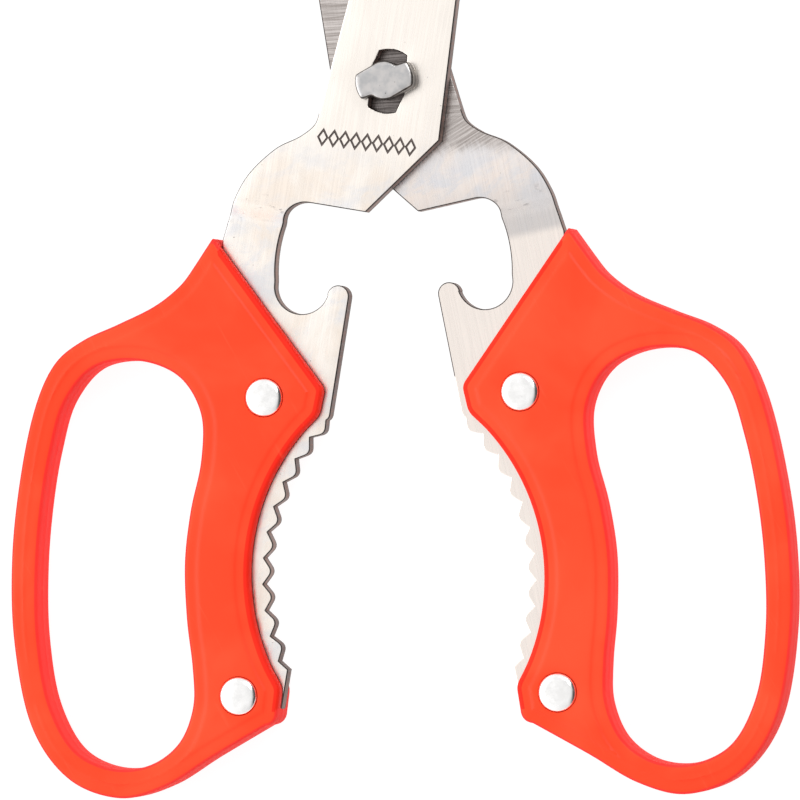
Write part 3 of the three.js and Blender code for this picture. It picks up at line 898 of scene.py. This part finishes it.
def build_shears():
    plastic = [
        moulded("orange_moulding", (1.0, 0.056, 0.018), (1.0, 0.072, 0.026), 0.24),
        # The side and rounded edge: a deeper, pinker copy of the plastic, painted shade and reflection,
        # rougher.
        moulded("orange_moulding_side_painted_shade_and_reflection", (1.0, 0.038, 0.030), (1.0, 0.046, 0.036), 0.55),
        # Over the steel: a deeper red, painted shade.
        moulded("orange_moulding_painted_shade_over_steel", (0.86, 0.020, 0.008), (0.92, 0.028, 0.011), 0.4),
        # The seam: dark red, painted shadow and grime.
        moulded("orange_moulding_seam_painted_shadow_and_grime", (0.2, 0.014, 0.009), (0.32, 0.02, 0.012), 0.6),
    ]
    sheared = edge_steel("sheared_edge", light=(0.34, 0.225, 0.19), dark=(0.13, 0.08, 0.07))
    burr = edge_steel("burred_edge", light=(0.085, 0.07, 0.065), dark=(0.03, 0.025, 0.022))
    stamped = edge_steel("stamped_mark", light=(0.17, 0.14, 0.13), dark=(0.07, 0.06, 0.055))
    stud_steel = [
        cast_steel("stud_satin", (0.52, 0.50, 0.49), (0.435, 0.432, 0.435), rough=0.42, pits=0.8),
        # The rim: lighter than the face, a painted highlight, with a smoother finish.
        cast_steel("stud_rim_painted_highlight", (0.62, 0.60, 0.59), (0.44, 0.42, 0.41), rough=0.3, pits=0.3),
        # The side and the rim's outer band: painted shade.
        cast_steel("stud_side_painted_shade", (0.13, 0.12, 0.11), (0.04, 0.035, 0.035), rough=0.4, pits=0.3),
    ]
    bright = cast_steel("rivet_bright", (0.99, 0.98, 0.97), (0.93, 0.92, 0.91), rough=0.2, pits=0.4)
    front = [front_steel(), sheared, burr, stamped]
    stamped_half("front_blade_steel", "front_blade", LEFT, front)
    stamped_half("back_blade_steel", "back_blade", RIGHT, [back_steel(), sheared, burr])
    for side, word in ((LEFT, "left"), (RIGHT, "right")):
        handle(side, word, plastic)
        for which in ("upper", "lower"):
            rivet(word, which, bright)
    stud(stud_steel)


build_shears()

# ---- floor and light ----
FLOOR_SIZE, FLOOR_GAP = 12, 0.00002
FLOOR_GREY, FLOOR_GLOW = 0.12, 0.92
SKY = [(0, 0.9), (0.26, 0.66), (0.38, 0.52), (0.6, 0.5), (0.77, 0.42), (0.9, 0.04)]  # from left to right
SKY_STRENGTH = 1.8


def build_floor():
    lowest = min(v.z for v in CAD_BOX)
    bpy.ops.mesh.primitive_plane_add(size=FLOOR_SIZE, location=(0, 0, lowest - FLOOR_GAP))
    floor = bpy.context.object
    floor.name = "floor"
    paint = Paint("pale_floor", 0.8)
    paint.shader.inputs["Base Color"].default_value = (FLOOR_GREY, FLOOR_GREY, FLOOR_GREY, 1)
    paint.shader.inputs["Emission Color"].default_value = (1, 1, 1, 1)
    paint.shader.inputs["Emission Strength"].default_value = FLOOR_GLOW
    floor.data.materials.append(paint.material)


def build_sky():
    """A soft grey surround, pale on the left and dark on the right."""
    world = bpy.data.worlds.new("studio")
    bpy.context.scene.world = world
    world.use_nodes = True
    nodes, links = world.node_tree.nodes, world.node_tree.links
    background = nodes["Background"]
    background.inputs["Strength"].default_value = SKY_STRENGTH
    direction = nodes.new("ShaderNodeTexCoord")
    split = nodes.new("ShaderNodeSeparateXYZ")
    along = nodes.new("ShaderNodeMapRange")
    along.inputs["From Min"].default_value = -1
    shade = nodes.new("ShaderNodeValToRGB")
    while len(shade.color_ramp.elements) < len(SKY):
        shade.color_ramp.elements.new(0.5)
    for element, (place, level) in zip(shade.color_ramp.elements, SKY):
        element.position = place
        element.color = (level, level, level, 1)
    links.new(direction.outputs["Generated"], split.inputs["Vector"])
    links.new(split.outputs["X"], along.inputs["Value"])
    links.new(along.outputs["Result"], shade.inputs["Fac"])
    links.new(shade.outputs["Color"], background.inputs["Color"])


def softbox(name, place, size, watts):
    """A square light that faces the pivot."""
    data = bpy.data.lights.new(name, "AREA")
    data.energy = watts
    data.size = size
    made = bpy.data.objects.new(name, data)
    bpy.context.scene.collection.objects.link(made)
    made.location = place
    made.rotation_euler = Vector(place).to_track_quat("Z", "Y").to_euler()


build_floor()
build_sky()
softbox("left_key", (-1.1, -0.1, 0.8), size=0.8, watts=5)
softbox("right_fill", (0.65, 0.8, 1.0), size=0.6, watts=9)

# ---- camera ----
AZIMUTH, ELEVATION, ROLL = math.radians(13.6), math.radians(-0.74), math.radians(1.12)
DISTANCE = 0.997  # from the pivot's head
VIEW_WIDTH = 0.13158  # what the square frame takes in at that distance
HEAD_RIGHT, HEAD_UP = -0.0208, 0.4  # the pivot's head, in frame widths from the middle
SENSOR = 36


def build_camera():
    away = Vector((
        math.sin(AZIMUTH) * math.cos(ELEVATION),
        math.sin(ELEVATION),
        math.cos(AZIMUTH) * math.cos(ELEVATION),
    ))
    across = Vector((math.cos(AZIMUTH), 0, -math.sin(AZIMUTH)))
    up = away.cross(across)
    head = Vector((0, 0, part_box("pivot_stud")[1].z))
    eye = head + away * DISTANCE - (across * HEAD_RIGHT + up * HEAD_UP) * VIEW_WIDTH
    lens = bpy.data.cameras.new("camera")
    lens.sensor_width = SENSOR
    lens.lens = SENSOR * DISTANCE / VIEW_WIDTH
    lens.clip_start, lens.clip_end = 0.05, 50
    camera = bpy.data.objects.new("camera", lens)
    bpy.context.scene.collection.objects.link(camera)
    pose = Matrix((across, up, away)).transposed().to_4x4()
    pose.translation = eye
    camera.matrix_world = Matrix.Rotation(-ROLL, 4, "Z") @ pose
    bpy.context.scene.camera = camera


build_camera()
bpy.context.scene.view_settings.view_transform = "Standard"

bpy.context.view_layer.update()
